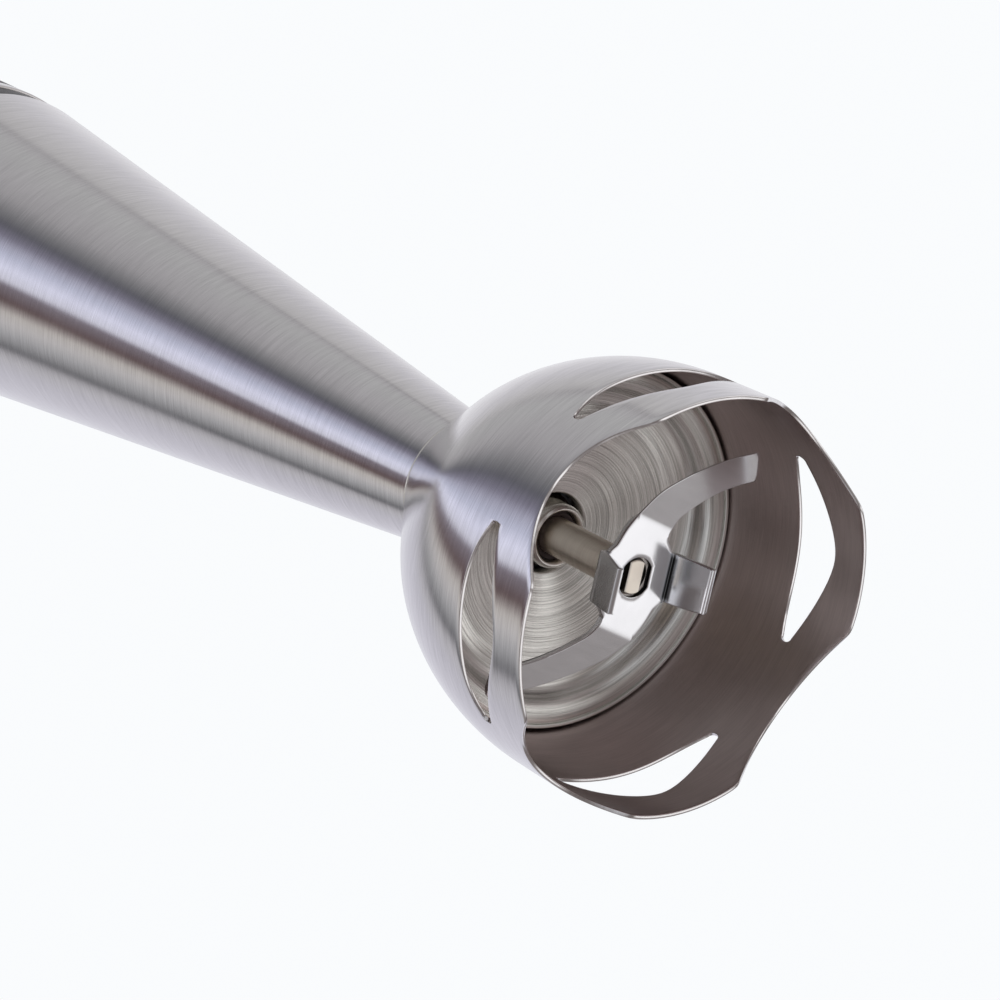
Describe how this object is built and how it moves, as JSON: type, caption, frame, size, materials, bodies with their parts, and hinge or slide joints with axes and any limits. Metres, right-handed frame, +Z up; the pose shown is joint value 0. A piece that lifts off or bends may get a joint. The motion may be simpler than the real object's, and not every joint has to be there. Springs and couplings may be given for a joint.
{
  "type": "immersion blender",
  "caption": "Hand-held immersion blender: tapered steel leg with a lobed, slotted bell guard and a two-armed blade, plugged into a round motor handle.",
  "frame": {"origin": "centre of the bell guard's rim plane, on the surface the blender stands on", "axes": "+Z up along the shaft from the bell to the handle's top; -Y is the side with the finger buttons"},
  "size_m": [0.065, 0.065, 0.4],
  "materials": {
    "brushed_steel": "satin, brushed round the axis",
    "spun_steel": "spun, fine concentric lines",
    "blade_steel": "fine satin with bright ground edges",
    "shaft_steel": "ground, satin",
    "bearing_steel": "ground",
    "bush_metal": "turned",
    "rubber": "matte",
    "dark_plastic": "fine matte grain",
    "grey_plastic": "satin",
    "black_plastic": "matte",
    "nylon": "satin",
    "cast_alloy": "die-cast",
    "lamination": "stacked sheet",
    "copper_wire": "enamelled wire",
    "copper_bar": "turned",
    "brass": "pressed",
    "circuit_board": "solder mask"
  },
  "bodies": {
    "motor_unit": {"housing_front": "dark_plastic", "housing_rear": "dark_plastic", "soft_grip": "rubber", "collar_ring": "brushed_steel", "top_cap": "dark_plastic", "cable_gland": "rubber", "mount_plate": "cast_alloy", "upper_bracket": "cast_alloy", "motor_bearing_lower": "bearing_steel", "motor_bearing_upper": "bearing_steel", "stator_core": "lamination", "latch_ring": "bearing_steel", "control_board": "circuit_board", "power_switch": "black_plastic", "turbo_switch": "black_plastic", "potentiometer": "cast_alloy", "field_coil_rear": "copper_wire", "field_coil_front": "copper_wire", "brush_holder_right": "brass", "carbon_brush_right": "black_plastic", "tie_rod_right": "bearing_steel", "brush_holder_left": "brass", "carbon_brush_left": "black_plastic", "tie_rod_left": "bearing_steel", "housing_screw_1": "bearing_steel", "housing_screw_2": "bearing_steel", "housing_screw_3": "bearing_steel", "housing_screw_4": "bearing_steel"},
    "leg": {"bell_guard": "brushed_steel", "leg_tube": "brushed_steel", "bell_liner": "spun_steel", "bush_housing": "grey_plastic", "lower_bush": "bush_metal", "shaft_seal": "rubber", "bearing_carrier": "grey_plastic", "leg_bearing": "bearing_steel", "leg_collar": "dark_plastic"},
    "blade_drive": {"blade": "blade_steel", "drive_shaft": "shaft_steel", "shaft_circlip": "bearing_steel", "driven_coupling": "nylon"},
    "rotor": {"rotor_core": "lamination", "motor_shaft": "bearing_steel", "rotor_winding_lower": "copper_wire", "rotor_winding_upper": "copper_wire", "commutator": "copper_bar", "cooling_fan": "dark_plastic", "drive_dog": "nylon"},
    "power_button": {"power_button": "grey_plastic"},
    "turbo_button": {"turbo_button": "grey_plastic"},
    "release_right": {"release_button_right": "grey_plastic"},
    "release_left": {"release_button_left": "grey_plastic"},
    "dial": {"speed_dial": "grey_plastic", "dial_spindle": "bearing_steel"}
  },
  "joints": [
    {"name": "leg_pull_off", "type": "slide", "parent": "motor_unit", "child": "leg", "axis": [0, 0, -1], "range_m": [0, 0.03]},
    {"name": "rotor_spin", "type": "hinge", "parent": "motor_unit", "child": "rotor", "pos_m": [0, 0, 0.295], "axis": [0, 0, 1], "continuous": true},
    {"name": "blade_spin", "type": "hinge", "parent": "leg", "child": "blade_drive", "pos_m": [0, 0, 0.0158], "axis": [0, 0, 1], "continuous": true},
    {"name": "power_press", "type": "slide", "parent": "motor_unit", "child": "power_button", "axis": [0, 1, 0], "range_m": [0, 0.0025], "stiffness_N_per_m": 600, "springref_m": -0.001},
    {"name": "turbo_press", "type": "slide", "parent": "motor_unit", "child": "turbo_button", "axis": [0, 1, 0], "range_m": [0, 0.0025], "stiffness_N_per_m": 600, "springref_m": -0.001},
    {"name": "release_right_press", "type": "slide", "parent": "motor_unit", "child": "release_right", "axis": [-1, 0, 0], "range_m": [0, 0.002], "stiffness_N_per_m": 900, "springref_m": -0.001},
    {"name": "release_left_press", "type": "slide", "parent": "motor_unit", "child": "release_left", "axis": [1, 0, 0], "range_m": [0, 0.002], "stiffness_N_per_m": 900, "springref_m": -0.001},
    {"name": "dial_turn", "type": "hinge", "parent": "motor_unit", "child": "dial", "pos_m": [0, -0.008, 0.395], "axis": [0, 0, 1], "range_deg": [0, 270]}
  ],
  "couplings": [
    {"joint": "blade_spin", "follows": "rotor_spin", "ratio": 1}
  ]
}
